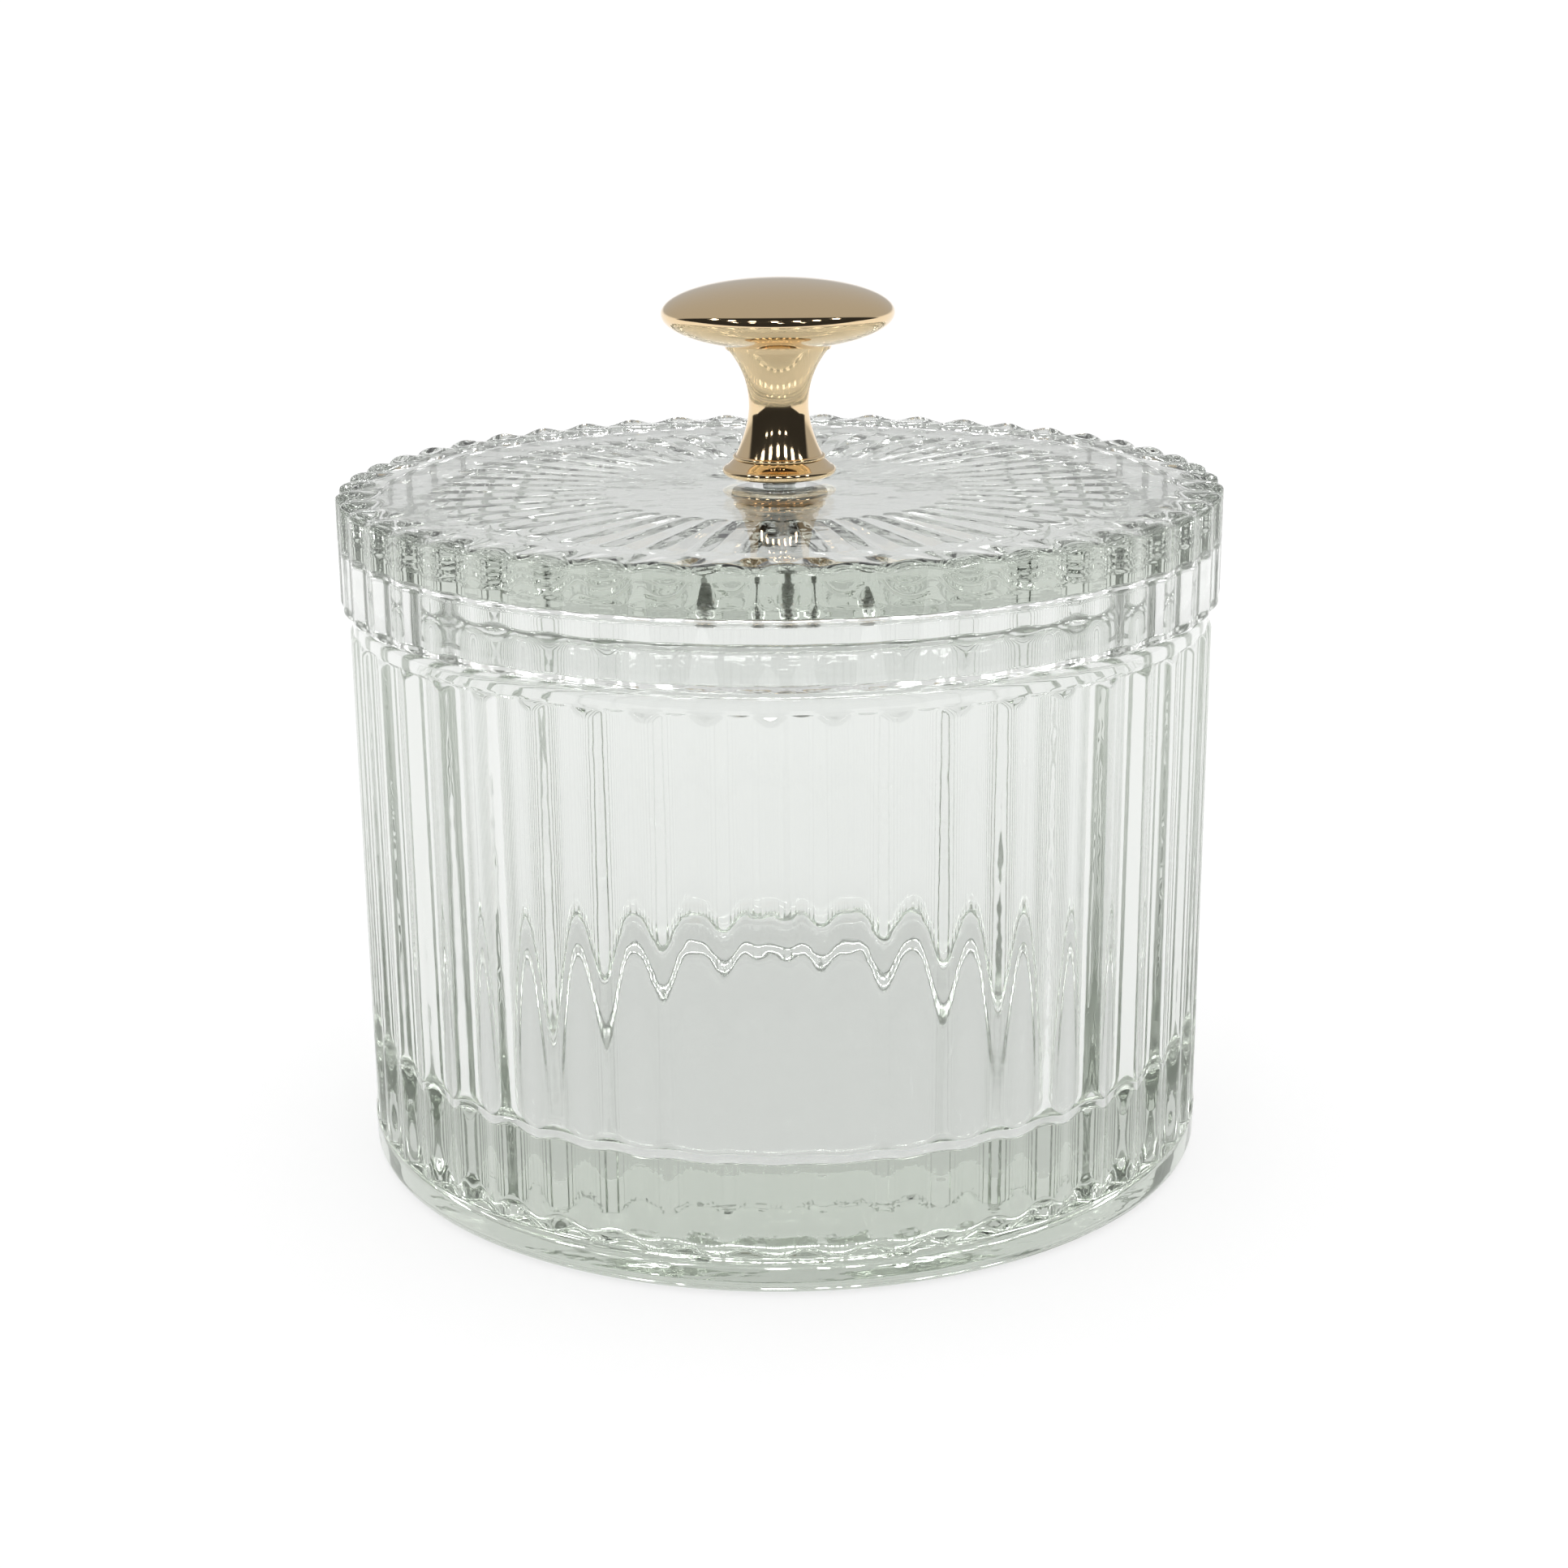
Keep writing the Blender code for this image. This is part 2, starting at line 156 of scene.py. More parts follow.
# Grooves fill these shares of the pitch at their two ends
GROOVE_FILL_INNER = 0.80
GROOVE_FILL_OUTER = 0.84

# Knob
KNOB_BASE = KNOB_LOW.z
KNOB_TOP = KNOB_HIGH.z
HEAD_RADIUS = KNOB_HIGH.x
HEAD_CROWN = 3.75 * MM
HEAD_BELLY = 3.9 * MM
COLLAR_RADIUS = 6.15 * MM
COLLAR_STEP = 0.4 * MM
COLLAR_DRAFT = 0.22 * MM
COLLAR_HEIGHT = 0.5 * MM
WAIST_RADIUS = 3.38 * MM
WAIST_HEIGHT = 7.8 * MM
STEM_FLARE_UPPER = 2.3
STEM_FLARE_LOWER = 1.7
STEM_FOOT_RADIUS = 4.9 * MM
STEM_FOOT_HEIGHT = 2.45 * MM
TIER_RADIUS = 5.25 * MM
TIER_ROUND = 0.25 * MM
FLANGE_RADIUS = 6.45 * MM
FLANGE_HEIGHT = 1.3 * MM
FLANGE_FACE_RADIUS = 5.4 * MM
FLANGE_TOP_ANGLE = 65.0
KNOB_RELIEF_RADIUS = 4.3 * MM
KNOB_RELIEF_DEPTH = 1.1 * MM
KNOB_BORE = 2.3 * MM
KNOB_BORE_DEPTH = 7.3 * MM
KNOB_BORE_TIP = 7.8 * MM
KNOB_STEPS = 128

# Fastening
SCREW_RADIUS = 2.0 * MM
SCREW_TIP_CHAMFER = 0.8 * MM
SCREW_HEAD_RADIUS = 3.9 * MM
SCREW_HEAD_HEIGHT = 2.4 * MM
SCREW_HEAD_ROUND = 0.9 * MM
SCREW_HEAD_EDGE = 0.05 * MM
THREAD_PITCH = 0.7 * MM
THREAD_DEPTH = 0.4 * MM
THREAD_ROWS = 8
THREAD_FROM_HEAD = 0.5 * MM
THREAD_FROM_TIP = 0.6 * MM
RECESS_REACH = 2.3 * MM
RECESS_WIDTH = 0.8 * MM
RECESS_DEPTH = 1.3 * MM
RECESS_SOFT = 0.1 * MM
RECESS_WALL = 0.3 * MM
RECESS_MIDDLE = 0.2 * MM
WASHER_BORE = 2.3 * MM
STEEL_WASHER_EDGE = 0.08 * MM
SOFT_WASHER_EDGE = 0.2 * MM
SMALL_STEPS = 96

# Turned and rolled metal has sharp edges where faces meet at more than this
SHARP_EDGE = math.radians(35.0)

# Table of white paper. The dark room beyond its front edge shows in the knob
TABLE_FRONT = 0.3
TABLE_REACH = 4.0
TABLE_DROP = 0.05 * MM
PAPER_GLOW = 0.68

# Brightness of the studio, where 1 is white: light on the paper, and paper that glass shows beyond the table
STUDIO_LEVEL = 1.07
PAPER_LEVEL = 1.065
# Each pair is what metal mirrors and what glass lets through. The room is dark towards -Y, from where it
# begins to where it is darkest, and its edge leans back by the tilt
ROOM_VIEWS = {
    "room_begins": (0.50, -0.08),
    "room_darkest": (0.36, -0.24),
    "room_tilt": (0.87, 0.0),
    "room_level": (0.03, 0.42),
    "ceiling_level": (0.50, 0.86),
}
CEILING_RISE = 0.12

# Lamps stand round the jar at this distance, in rows of one elevation in degrees
LAMP_DISTANCE = 1.4
LAMP_CENTRE = 0.08
LAMP_RADIANCE = 14.0
UPPER_STRIPS = {"elevation": 36.0, "azimuths": (-72, -50, -26, -2, 22, 44, 68), "size": (0.13, 0.16)}
LOWER_STRIPS = {"elevation": 22.0, "azimuths": (-42, -24, 4, 26), "size": (0.10, 0.04)}
WINDOW_AZIMUTHS = range(-165, 180, 30)
WINDOW_ELEVATIONS = (32.0, 62.0)
WINDOW_SIZE = (0.17, 0.13)

# Light passes many faces of glass before it leaves the jar
GLASS_BOUNCES = 24
MIRROR_BOUNCES = 12

# Photo's camera, found from the object's outline
CAMERA_DISTANCE = 305.0 * MM
CAMERA_HEIGHT = 130.5 * MM
CAMERA_AZIMUTH = math.radians(1.31)
CAMERA_PITCH = math.radians(17.638)
CAMERA_ROLL = math.radians(-0.536)
CAMERA_LENS = 61.88
CAMERA_SHIFT = (0.00074, 0.0433)
CAMERA_CLIP = 0.01


class CandleJarSizes(PropertyGroup):
    flute_count: IntProperty(
        name="Flutes", description="Hollow flutes round the jar and the lid", default=48, min=12, max=96)
    flute_form: FloatProperty(
        name="Flute form", description="Below 1 the hollows are wide, above 1 the lands",
        default=1.0, min=0.4, max=2.0)
    jar_flute_depth: FloatProperty(
        name="Jar flute depth", description="Depth of the jar's flutes", default=0.75 * MM, unit="LENGTH")
    lid_flute_depth: FloatProperty(
        name="Lid flute depth", description="Depth of the lid's flutes", default=0.55 * MM, unit="LENGTH")
    lid_lobe_height: FloatProperty(
        name="Lid lobe height", description="How far lobes rise above the lid's top",
        default=0.22 * MM, unit="LENGTH")
    groove_slope: FloatProperty(
        name="Groove slope", description="Tilt of each side of a sunburst groove",
        default=math.radians(7.5), subtype="ANGLE")


class CandleJarFinish(PropertyGroup):
    glass: StringProperty(
        name="Glass", description="Colour of the glass surface, sRGB hex", default="#F5F6F5")
    glass_depth: StringProperty(
        name="Glass depth", description="Colour that thick glass turns, sRGB hex", default="#F0F2EF")
    glass_density: FloatProperty(
        name="Glass density", description="Absorption per metre of glass", default=40.0)
    gold: StringProperty(
        name="Gold", description="Colour of the knob's plating, sRGB hex", default="#EDD3AB")
    zinc: StringProperty(
        name="Zinc", description="Colour of the screw and washer, sRGB hex", default="#B9BAB6")
    soft: StringProperty(
        name="Soft vinyl", description="Colour of the soft washers, sRGB hex", default="#B4B1A8")
    paper: StringProperty(
        name="Paper", description="Colour of the table's paper without its glow, sRGB hex", default="#A2A2A2")


def linear(code):
    """Linear RGBA of an sRGB hex colour."""
    channels = [int(code[i:i + 2], 16) / 255.0 for i in (1, 3, 5)]
    return (*(c / 12.92 if c <= 0.04045 else ((c + 0.055) / 1.055) ** 2.4 for c in channels), 1.0)


def add_node(tree, kind, links=None, values=None, **settings):
    """Add a node with its settings, socket values and incoming links."""
    node = tree.nodes.new(kind)
    for key, value in settings.items():
        setattr(node, key, value)
    for key, value in (values or {}).items():
        node.inputs[key].default_value = value
    for key, socket in (links or {}).items():
        tree.links.new(socket, node.inputs[key])
    return node


def new_material(name):
    """Material with an empty node tree."""
    material = bpy.data.materials.new(name)
    material.use_nodes = True
    material.node_tree.nodes.clear()
    return material, material.node_tree


def eased(share):
    """A share from 0 to 1 that starts and ends level."""
    return share * share * (3.0 - 2.0 * share)


def smooth_max(a, b, soft):
    """The larger of two fields, with the corner between them rounded."""
    share = np.clip(0.5 + 0.5 * (a - b) / soft, 0.0, 1.0)
    return b + (a - b) * share + soft * share * (1.0 - share)


def smooth_min(a, b, soft):
    """The smaller of two fields, with the corner between them rounded."""
    return -smooth_max(-a, -b, soft)


def arc(centre_r, centre_z, size_r, size_z, start, end, points):
    """Points of an elliptical arc in the radius and height plane, angles in degrees."""
    turn = np.radians(np.linspace(start, end, points + 1))
    return list(zip(centre_r + size_r * np.cos(turn), centre_z + size_z * np.sin(turn)))


def ring(radius, height, angles):
    """One ring of points round Z. Radius and height are numbers, or one value per angle."""
    points = np.empty((len(angles), 3))
    points[:, 0] = radius * np.cos(angles)
    points[:, 1] = radius * np.sin(angles)
    points[:, 2] = height
    return points


def plain_rings(profile, angles):
    """Round rings through a profile of radii and heights."""
    return [ring(r, z, angles) for r, z in profile]


def ring_mesh(name, rings, tips=()):
    """Closed skin through rings of points. Tips are the heights of the end points on the axis.

    Without tips the last ring meets the first.
    """
    count = len(rings[0])
    points = np.concatenate(rings + [np.array([(0.0, 0.0, z)]) for z in tips])
    step = np.arange(count)
    after = (step + 1) % count
    quads = []
    last = len(rings) if not tips else len(rings) - 1
    for i in range(last):
        low = i * count
        high = ((i + 1) % len(rings)) * count
        quads.append(np.stack([low + step, low + after, high + after, high + step], axis=1))
    faces = np.concatenate(quads).tolist()
    if tips:
        first_tip = len(rings) * count
        top = (len(rings) - 1) * count
        faces += [(int(b), int(a), first_tip) for a, b in zip(step, after)]
        faces += [(int(top + a), int(top + b), first_tip + 1) for a, b in zip(step, after)]
    mesh = bpy.data.meshes.new(name)
    mesh.from_pydata(points.tolist(), [], faces)
    work = bmesh.new()
    work.from_mesh(mesh)
    bmesh.ops.recalc_face_normals(work, faces=work.faces)
    work.to_mesh(mesh)
    work.free()
    mesh.shade_smooth()
    return mesh


def add_piece(name, mesh, material, body, slot, *nodes):
    """Put a piece in the scene, on its body, in place of its CAD nodes."""
    piece = bpy.data.objects.new(name, mesh)
    bpy.context.scene.collection.objects.link(piece)
    mesh.materials.append(material)
    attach(piece, body)
    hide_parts(*nodes)
    return piece


def even_angles(steps):
    """Angles evenly spread round the axis."""
    return np.linspace(0.0, math.tau, steps, endpoint=False)


def mirrored_columns(halves):
    """Offsets across one whole pitch, from a land's middle to just before the next one's."""
    halves = np.asarray(halves)
    return np.concatenate([-halves[::-1], halves[1:-1]])


def pitch_angles(offsets, count):
    """Angles of all columns, and each column's own offset, for a pitch repeated round the axis."""
    middles = math.tau * (np.arange(count) + 0.5) / count
    return (middles[:, None] + offsets[None, :]).ravel(), np.tile(offsets, count)


def flute_columns(size):
    """Angles of the columns, and how far each lies down a flute: 0 on a land, 1 in a hollow's middle."""
    half_pitch = math.pi / size.flute_count
    halves = np.linspace(0.0, half_pitch, FLUTE_COLUMNS + 1)
    angles, offsets = pitch_angles(mirrored_columns(halves), size.flute_count)
    wave = 0.5 + 0.5 * np.cos(math.pi * offsets / half_pitch)
    return angles, wave ** size.flute_form


def jar_underside():
    """Profile from the middle of the push-up out to the foot's ring and round its edge."""
    ring_inner = FOOT_RADIUS - FOOT_ROUND - FOOT_RING
    profile = [(AXIS_RING, PUSH_UP), (ring_inner - PUSH_UP_SLOPE - 4 * HOLD, PUSH_UP)]
    for share in np.linspace(0.0, 1.0, PUSH_UP_ROWS):
        profile.append((ring_inner - PUSH_UP_SLOPE * (1.0 - share), PUSH_UP * (1.0 - eased(share))))
    profile += [(ring_inner + 4 * HOLD, 0.0), (FOOT_RADIUS - FOOT_ROUND - 2 * HOLD, 0.0)]
    profile += arc(FOOT_RADIUS - FOOT_ROUND, FOOT_ROUND, FOOT_ROUND, FOOT_ROUND, -90, 0, 7)
    return profile


def jar_wall(size, angles, wave):
    """Rings up the outside, where flutes die out on the foot below and on a plain band above."""
    wall = JAR_RADIUS - size.jar_flute_depth * wave
    core = JAR_RADIUS - size.jar_flute_depth - BODY_INSET
    heights = np.concatenate([
        np.linspace(FOOT_HEIGHT - FOOT_FADE[0], FOOT_HEIGHT + FOOT_FADE[1], FOOT_FADE_ROWS),
        np.linspace(BAND_BOTTOM - BAND_FADE[0], BAND_BOTTOM + BAND_FADE[1], BAND_FADE_ROWS),
    ])
    rings = []
    for z in heights:
        # Lands end in a facet under the band, and hollows on the foot's sloping top
        facet = BAND_RADIUS + (BAND_BOTTOM - z) / FLUTE_TOP_RISE
        foot = min(FOOT_RADIUS, FOOT_RADIUS - (z - FOOT_HEIGHT) / FOOT_SLOPE)
        upper = min(BAND_RADIUS, BAND_RADIUS - (BAND_BOTTOM - z))
        body = max(foot, upper, core)
        r = smooth_min(wall, np.full_like(wall, facet), FACET_SOFT)
        rings.append(ring(smooth_max(r, np.full_like(r, body), FACET_SOFT), z, angles))
    return rings


def jar_inside():
    """Profile from the shoulder over the neck's rim and down the bore to the floor."""
    fillet_top = JAR_FLOOR + FLOOR_FILLET
    profile = arc(BAND_RADIUS - SHOULDER_ROUND, SHOULDER - SHOULDER_ROUND,
                  SHOULDER_ROUND, SHOULDER_ROUND, 0, 90, 6)
    profile += [(BAND_RADIUS - SHOULDER_ROUND - 2 * HOLD, SHOULDER)]
    profile += [(NECK_RADIUS + NECK_FILLET + HOLD, SHOULDER)]
    profile += arc(NECK_RADIUS + NECK_FILLET, SHOULDER + NECK_FILLET, NECK_FILLET, NECK_FILLET, -90, -180, 3)
    profile += arc(NECK_RADIUS - RIM_ROUND, RIM - RIM_ROUND, RIM_ROUND, RIM_ROUND, 0, 90, 5)
    profile += arc(JAR_BORE + RIM_ROUND, RIM - RIM_ROUND, RIM_ROUND, RIM_ROUND, 90, 180, 5)
    profile += [(JAR_BORE - BORE_DRAFT_UPPER * JAR_BORE_DRAFT, RIM - BORE_FROM_RIM)]
    profile += [(FLOOR_BORE + BORE_DRAFT_LOWER * JAR_BORE_DRAFT, fillet_top + BORE_FROM_FILLET)]
    profile += arc(FLOOR_BORE - FLOOR_FILLET, fillet_top, FLOOR_FILLET, FLOOR_FILLET, 0, -90, 10)
    profile += [(FLOOR_BORE - FLOOR_FILLET - 4 * HOLD, JAR_FLOOR), (AXIS_RING, JAR_FLOOR)]
    return profile


def jar_rings(size):
    """Rings from the middle of the push-up, up the outside, over the rim and down to the floor."""
    angles, wave = flute_columns(size)
    rings = plain_rings(jar_underside(), angles)
    rings += jar_wall(size, angles, wave)
    return rings + plain_rings(jar_inside(), angles)


def groove_columns(radius, half_width, count):
    """Angles that follow a groove's sides at this radius, and each point's distance across."""
    half_pitch = math.pi / count
    halves = np.arcsin(np.array(GROOVE_SHARES) * half_width / radius)
    halves = np.minimum(halves, half_pitch * np.linspace(*GROOVE_LIMITS, len(halves)))
    angles, offsets = pitch_angles(mirrored_columns(np.append(halves, half_pitch)), count)
    return angles, radius * np.sin(offsets)


def groove_rings(size):
    """Rings of the lid's underside from outside in, with the sunburst pressed in it."""
    count = size.flute_count
    half_outer = GROOVE_END * math.sin(math.pi / count) * GROOVE_FILL_OUTER
    half_inner = GROOVE_START * math.sin(math.pi / count) * GROOVE_FILL_INNER
    outer = GROOVE_END - half_outer
    inner = GROOVE_START + half_inner
    radii = np.concatenate([
        [GROOVE_END + 8 * HOLD],
        np.linspace(GROOVE_END + 3 * HOLD, outer, 14),
        np.linspace(outer, inner, 5)[1:-1],
        np.linspace(inner, GROOVE_START - 2 * HOLD, 9),
        [GROOVE_START - 6 * HOLD, GROOVE_START - 12 * HOLD],
    ])
    rings = []
    for r in radii:
        along = np.clip((r - inner) / (outer - inner), 0.0, 1.0)
        half = half_inner + (half_outer - half_inner) * along
        angles, across = groove_columns(r, half, count)
        end = max(r - outer, inner - r, 0.0)
        inside = 1.0 - np.hypot(across, end) / half
        depth = half * math.tan(size.groove_slope) * inside
        depth = smooth_max(depth, np.zeros_like(depth), GROOVE_SOFT)
        rings.append(ring(r, PLATE_UNDER + depth, angles + LID_TURN))
    return rings


def lid_edge():
    """Steps out and down from the lid's top: a broad round that turns into the side at a tight corner."""
    steps = [(LID_EDGE_ROUND * math.sin(turn), LID_EDGE_ROUND * (1.0 - math.cos(turn)))
             for turn in np.linspace(0.0, LID_EDGE_TURN, 7)]
    inner = LID_EDGE_ROUND - LID_EDGE_CORNER
    out = inner * math.sin(LID_EDGE_TURN)
    down = LID_EDGE_ROUND - inner * math.cos(LID_EDGE_TURN)
    steps += [(out + LID_EDGE_CORNER * math.sin(turn), down - LID_EDGE_CORNER * math.cos(turn))
              for turn in np.linspace(LID_EDGE_TURN, math.pi / 2.0, 9)[1:]]
    return steps


def lid_outside(size, angles, wave):
    """Rings out from the lobes' tips, over the edge and down the flutes to the lid's foot."""
    wall = LID_RADIUS - size.lid_flute_depth * wave
    lobe = size.lid_lobe_height * (1.0 - 2.0 * wave)
    edge = lid_edge()
    crest = wall - edge[-1][0]
    rings = []
    # Lands run over the rounded edge as lobes, which rise a little above the top, and hollows dip below it
    for share in np.linspace(0.0, 1.0, LID_LOBE_ROWS + 1)[:-1]:
        reach = LID_LOBE_TIP + (crest - LID_LOBE_TIP) * share
        rings.append(ring(reach, LID_TOP + lobe * eased(share), angles))
    for out, down in edge:
        rings.append(ring(crest + out, LID_TOP + lobe - down, angles))
    rings.append(ring(wall, LID_BOTTOM + LID_SIDE_FOOT, angles))
    for z in np.linspace(LID_FOOT_FADE, LID_FOOT_LOWEST, LID_FOOT_ROWS):
        chamfer = np.full_like(wall, LID_RADIUS - LID_FOOT_CHAMFER + z)
        rings.append(ring(smooth_min(wall, chamfer, EDGE_SOFT), LID_BOTTOM + z, angles))
    return rings


def lid_rings(size):
    """Rings from the hole's upper edge, out over the top, down the flutes and back underneath."""
    angles, wave = flute_columns(size)
    angles = angles + LID_TURN
    hole_edge = LID_HOLE + LID_HOLE_ROUND
    inner_edge = SKIRT_BORE - LID_INNER_FILLET

    top = arc(hole_edge, LID_TOP - LID_HOLE_ROUND, LID_HOLE_ROUND, LID_HOLE_ROUND, 180, 90, 3)
    top += [(r, LID_TOP) for r in (*PLATE_RINGS, LID_LOBE_TIP - 10 * HOLD, LID_LOBE_TIP - 4 * HOLD)]

    skirt = [(LID_RADIUS - LID_FOOT_CHAMFER - LID_FOOT_FADE, LID_BOTTOM)]
    skirt += [(SKIRT_BORE + SKIRT_ROUND + HOLD, LID_BOTTOM)]
    skirt += arc(SKIRT_BORE + SKIRT_ROUND, LID_BOTTOM + SKIRT_ROUND, SKIRT_ROUND, SKIRT_ROUND, -90, -180, 3)
    skirt += arc(inner_edge, PLATE_UNDER - LID_INNER_FILLET, LID_INNER_FILLET, LID_INNER_FILLET, 0, 90, 7)
    skirt += [(inner_edge - 3 * HOLD, PLATE_UNDER)]

    hole = [(hole_edge + 3 * HOLD, PLATE_UNDER)]
    hole += arc(hole_edge, PLATE_UNDER + LID_HOLE_ROUND, LID_HOLE_ROUND, LID_HOLE_ROUND, -90, -180, 3)

    rings = plain_rings(top, angles) + lid_outside(size, angles, wave) + plain_rings(skirt, angles)
    return rings + groove_rings(size) + plain_rings(hole, angles)


def pressed_glass(finish):
    """Soda-lime glass, pressed and fire-polished: clear, faintly green where thick, never quite flat."""
    ripple_width = 5.0 * MM
    ripple_height = 0.03 * MM
    material, tree = new_material("pressed_soda_lime_glass")
    place = add_node(tree, "ShaderNodeTexCoord")
    ripple = add_node(tree, "ShaderNodeTexNoise", {"Vector": place.outputs["Object"]},
                      {"Scale": 1.0 / ripple_width, "Detail": 2.0})
    bump = add_node(tree, "ShaderNodeBump", {"Height": ripple.outputs["Fac"]},
                    {"Strength": 1.0, "Distance": ripple_height})
    glass = add_node(tree, "ShaderNodeBsdfPrincipled", {"Normal": bump.outputs["Normal"]},
                     {"Base Color": linear(finish.glass), "Roughness": 0.0, "IOR": 1.52,
                      "Transmission Weight": 1.0})
    depth = add_node(tree, "ShaderNodeVolumeAbsorption", None,
                     {"Color": linear(finish.glass_depth), "Density": finish.glass_density})
    add_node(tree, "ShaderNodeOutputMaterial",
             {"Surface": glass.outputs["BSDF"], "Volume": depth.outputs["Volume"]})
    return material


class CANDLEJAR_OT_jar(Operator):
    """Press the jar: fluted wall, plain foot, thick floor and neck"""
    bl_idname = "candle_jar.jar"
    bl_label = "Jar"

    def execute(self, context):
        mesh = ring_mesh("jar_pressed", jar_rings(context.scene.candle_jar_sizes), (PUSH_UP, JAR_FLOOR))
        glass = pressed_glass(context.scene.candle_jar_finish)
        add_piece("jar_pressed", mesh, glass, "jar", "jar_glass", "jar")
        return {"FINISHED"}


class CANDLEJAR_OT_lid(Operator):
    """Press the lid from the jar's glass: fluted cap with a sunburst in its underside"""
    bl_idname = "candle_jar.lid"
    bl_label = "Lid"

    def execute(self, context):
        mesh = ring_mesh("lid_pressed", lid_rings(context.scene.candle_jar_sizes))
        glass = bpy.data.materials["pressed_soda_lime_glass"]
        add_piece("lid_pressed", mesh, glass, "lid", "lid_glass", "lid")
        return {"FINISHED"}


def stem_flare(waist, end, power, shares):
    """Points of the stem from its waist, which widens by a power of the share of its height."""
    return [(waist[0] + (end[0] - waist[0]) * share ** power, waist[1] + (end[1] - waist[1]) * share)
            for share in shares]


def knob_outline():
    """Profile from the crown down to the underside and the screw's bore."""
    rim = KNOB_TOP - HEAD_CROWN
    belly_end = -math.degrees(math.acos(COLLAR_RADIUS / HEAD_RADIUS))
    collar_bottom = rim + HEAD_BELLY * math.sin(math.radians(belly_end)) - COLLAR_HEIGHT
    waist = (WAIST_RADIUS, KNOB_BASE + WAIST_HEIGHT)
    stem_top = (COLLAR_RADIUS - COLLAR_STEP, collar_bottom)
    stem_foot = (STEM_FOOT_RADIUS, KNOB_BASE + STEM_FOOT_HEIGHT)
    relief = KNOB_BASE + KNOB_RELIEF_DEPTH

    outline = arc(0.0, rim, HEAD_RADIUS, HEAD_CROWN, 88, 0, 48)
    outline += arc(0.0, rim, HEAD_RADIUS, HEAD_BELLY, 0, belly_end, 30)[1:]
    outline += [(COLLAR_RADIUS - COLLAR_DRAFT, collar_bottom)]
    outline += stem_flare(waist, stem_top, STEM_FLARE_UPPER, np.linspace(1.0, 0.0, 25))
    outline += stem_flare(waist, stem_foot, STEM_FLARE_LOWER, np.linspace(0.0, 1.0, 21)[1:])
    outline += arc(TIER_RADIUS - TIER_ROUND, stem_foot[1] - TIER_ROUND, TIER_ROUND, TIER_ROUND, 80, -60, 7)
    outline += arc(FLANGE_FACE_RADIUS, KNOB_BASE + FLANGE_HEIGHT / 2.0, FLANGE_RADIUS - FLANGE_FACE_RADIUS,
                   FLANGE_HEIGHT / 2.0, FLANGE_TOP_ANGLE, -90, 14)
    outline += [(KNOB_RELIEF_RADIUS, KNOB_BASE), (KNOB_RELIEF_RADIUS, relief), (KNOB_BORE, relief)]
    outline += [(KNOB_BORE, KNOB_BASE + KNOB_BORE_DEPTH)]
    return outline


def champagne_gold(finish):
    """Polished zinc alloy with champagne-gold plating: a mirror with a faint orange peel."""
    peel_width = 1.6 * MM
    peel_height = 0.002 * MM
    material, tree = new_material("champagne_gold_plating")
    place = add_node(tree, "ShaderNodeTexCoord")
    peel = add_node(tree, "ShaderNodeTexNoise", {"Vector": place.outputs["Object"]},
                    {"Scale": 1.0 / peel_width, "Detail": 2.0})
    haze = add_node(tree, "ShaderNodeMapRange", {"Value": peel.outputs["Fac"]},
                    {"To Min": 0.05, "To Max": 0.09})
    bump = add_node(tree, "ShaderNodeBump", {"Height": peel.outputs["Fac"]},
                    {"Strength": 1.0, "Distance": peel_height})
    gold = add_node(tree, "ShaderNodeBsdfPrincipled",
                    {"Roughness": haze.outputs["Result"], "Normal": bump.outputs["Normal"]},
                    {"Base Color": linear(finish.gold), "Metallic": 1.0})
    add_node(tree, "ShaderNodeOutputMaterial", {"Surface": gold.outputs["BSDF"]})
    return material


class CANDLEJAR_OT_knob(Operator):
    """Turn the knob: mushroom head, waisted stem and tiered flange"""
    bl_idname = "candle_jar.knob"
    bl_label = "Knob"

    def execute(self, context):
        rings = plain_rings(knob_outline(), even_angles(KNOB_STEPS))
        mesh = ring_mesh("knob_turned", rings, (KNOB_TOP, KNOB_BASE + KNOB_BORE_TIP))
        mesh.set_sharp_from_angle(angle=SHARP_EDGE)
        gold = champagne_gold(context.scene.candle_jar_finish)
        add_piece("knob_turned", mesh, gold, "lid", "knob_gold", "knob")
        return {"FINISHED"}


def recess_rings(angles, bottom):
    """Rings of the screw head's lower face, with a cross recess in its middle."""
    rings = []
    for r in np.linspace(RECESS_MIDDLE, SCREW_HEAD_RADIUS - SCREW_HEAD_ROUND, 16):
        arm = np.minimum(np.abs(r * np.cos(angles)), np.abs(r * np.sin(angles)))
        inside = smooth_min(RECESS_WIDTH / 2.0 - arm, np.full_like(arm, RECESS_REACH - r), RECESS_SOFT)
        share = np.clip(0.5 + inside / RECESS_WALL, 0.0, 1.0)
        depth = RECESS_DEPTH * (1.0 - 0.5 * r / RECESS_REACH)
        rings.append(ring(r, bottom + depth * share, angles))
    return rings


